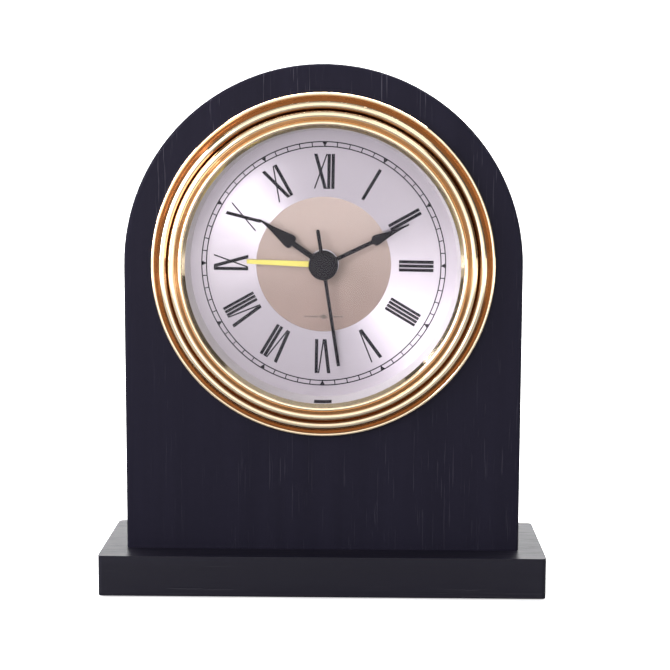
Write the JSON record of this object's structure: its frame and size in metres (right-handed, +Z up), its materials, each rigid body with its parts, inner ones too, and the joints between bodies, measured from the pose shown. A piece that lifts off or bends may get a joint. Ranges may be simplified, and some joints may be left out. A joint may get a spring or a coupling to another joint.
{
  "type": "desk alarm clock",
  "caption": "Arch-topped black wooden desk clock with a gold stepped bezel, Roman dial, spade hands, alarm hand and rear setting knobs.",
  "frame": {"origin": "centre of the footprint, on the surface that the felt pads stand on", "axes": "+Z up, the dial faces -Y, +X is the viewer's right when looking at the dial"},
  "size_m": [0.1178, 0.0396, 0.1392],
  "materials": {
    "case_wood": "satin black-stained open-grain veneer",
    "plinth_wood": "satin black-stained open-grain veneer",
    "dowel_wood": "raw beech",
    "zinc_steel": "zinc plated",
    "felt": "felt",
    "gold": "polished gold plate",
    "lens_glass": "clear polished",
    "rubber": "matte",
    "spacer": "satin silver-white",
    "dial_metal": "spun brushed, silver lilac",
    "cup_plastic": "moulded black",
    "cover_plastic": "fine texture black",
    "frame_plastic": "natural acetal",
    "brass": "turned brass",
    "stator_steel": "stamped",
    "copper": "enamelled copper wire",
    "board": "green solder mask",
    "epoxy": "black epoxy",
    "crystal_can": "plated can",
    "lead_red": "insulated wire",
    "spring_metal": "phosphor bronze",
    "nickel": "nickel plated",
    "cell": "gloss sleeve",
    "magnet": "bonded ferrite",
    "wheel_plastic": "natural acetal",
    "hand_black": "satin black",
    "hand_yellow": "satin yellow",
    "knob_plastic": "moulded black"
  },
  "bodies": {
    "case": {"case_body": "case_wood", "base_plinth": "plinth_wood", "plinth_dowels": "dowel_wood", "plinth_screws": "zinc_steel", "felt_pads": "felt", "bezel": "gold", "lens": "lens_glass", "lens_gasket": "rubber", "spacer_ring": "spacer", "dial": "dial_metal", "insert_cup": "cup_plastic", "fit_ring": "rubber", "rear_cover": "cover_plastic", "rear_cover_screws": "zinc_steel", "mid_plate": "frame_plastic", "back_plate": "frame_plastic", "plate_pillars": "brass", "plate_screws": "zinc_steel", "stator": "stator_steel", "coil_core": "stator_steel", "coil_bobbin": "knob_plastic", "coil_winding": "copper", "stator_screws": "zinc_steel", "circuit_board": "board", "board_screws": "zinc_steel", "chip_blob": "epoxy", "quartz_crystal": "crystal_can", "buzzer": "knob_plastic", "buzzer_leads": "lead_red", "alarm_contact": "spring_metal", "switch_contacts": "spring_metal", "battery": "cell", "positive_contact": "nickel", "negative_contact": "nickel"},
    "rotor": {"rotor_magnet": "magnet", "rotor_pinion": "wheel_plastic"},
    "intermediate": {"intermediate_wheel": "wheel_plastic"},
    "seconds": {"seconds_wheel": "wheel_plastic", "second_hand": "hand_black", "second_hand_cap": "hand_black"},
    "third": {"third_wheel": "wheel_plastic"},
    "minutes": {"centre_wheel": "wheel_plastic", "clutch_spring": "spring_metal", "minute_pipe": "brass", "minute_hand": "hand_black"},
    "minute_work": {"minute_wheel": "wheel_plastic"},
    "hours": {"hour_wheel": "wheel_plastic", "hour_hand": "hand_black"},
    "alarm": {"alarm_wheel": "wheel_plastic", "alarm_hand": "hand_yellow"},
    "time_set": {"time_set_shaft": "wheel_plastic", "time_set_knob": "knob_plastic"},
    "alarm_set": {"alarm_set_shaft": "wheel_plastic", "alarm_set_knob": "knob_plastic"},
    "switch": {"alarm_switch": "knob_plastic"},
    "door": {"battery_door": "cover_plastic"}
  },
  "joints": [
    {"name": "second_hand_turn", "type": "hinge", "parent": "case", "child": "seconds", "pos_m": [0, 0, 0.087], "axis": [0, 1, 0], "continuous": true},
    {"name": "rotor_spin", "type": "hinge", "parent": "case", "child": "rotor", "pos_m": [0.01305, 0, 0.08586], "axis": [0, 1, 0], "continuous": true},
    {"name": "intermediate_spin", "type": "hinge", "parent": "case", "child": "intermediate", "pos_m": [0.00747, 0, 0.08635], "axis": [0, 1, 0], "continuous": true},
    {"name": "third_spin", "type": "hinge", "parent": "case", "child": "third", "pos_m": [0.00186, 0, 0.09395], "axis": [0, 1, 0], "continuous": true},
    {"name": "minute_hand_turn", "type": "hinge", "parent": "case", "child": "minutes", "pos_m": [0, 0, 0.087], "axis": [0, 1, 0], "continuous": true},
    {"name": "minute_wheel_spin", "type": "hinge", "parent": "case", "child": "minute_work", "pos_m": [-0.00564, 0, 0.08495], "axis": [0, 1, 0], "continuous": true},
    {"name": "hour_hand_turn", "type": "hinge", "parent": "case", "child": "hours", "pos_m": [0, 0, 0.087], "axis": [0, 1, 0], "continuous": true},
    {"name": "time_knob_turn", "type": "hinge", "parent": "case", "child": "time_set", "pos_m": [-0.01055, 0, 0.08151], "axis": [0, 1, 0], "continuous": true},
    {"name": "alarm_knob_turn", "type": "hinge", "parent": "case", "child": "alarm_set", "pos_m": [-0.00779, 0, 0.0915], "axis": [0, 1, 0], "continuous": true},
    {"name": "alarm_hand_turn", "type": "hinge", "parent": "case", "child": "alarm", "pos_m": [0, 0, 0.087], "axis": [0, 1, 0], "continuous": true},
    {"name": "alarm_switch_slide", "type": "slide", "parent": "case", "child": "switch", "axis": [0, 0, 1], "range_m": [0, 0.004]},
    {"name": "battery_door_pull", "type": "slide", "parent": "case", "child": "door", "axis": [0, 1, 0], "range_m": [0, 0.03]}
  ],
  "couplings": [
    {"joint": "rotor_spin", "follows": "second_hand_turn", "ratio": 30},
    {"joint": "intermediate_spin", "follows": "second_hand_turn", "ratio": -5},
    {"joint": "third_spin", "follows": "second_hand_turn", "ratio": -0.13333},
    {"joint": "minute_hand_turn", "follows": "second_hand_turn", "ratio": 0.016667},
    {"joint": "minute_wheel_spin", "follows": "second_hand_turn", "ratio": -0.0055556},
    {"joint": "hour_hand_turn", "follows": "second_hand_turn", "ratio": 0.0013889},
    {"joint": "time_knob_turn", "follows": "second_hand_turn", "ratio": 0.016667},
    {"joint": "alarm_hand_turn", "follows": "alarm_knob_turn", "ratio": -0.25}
  ]
}
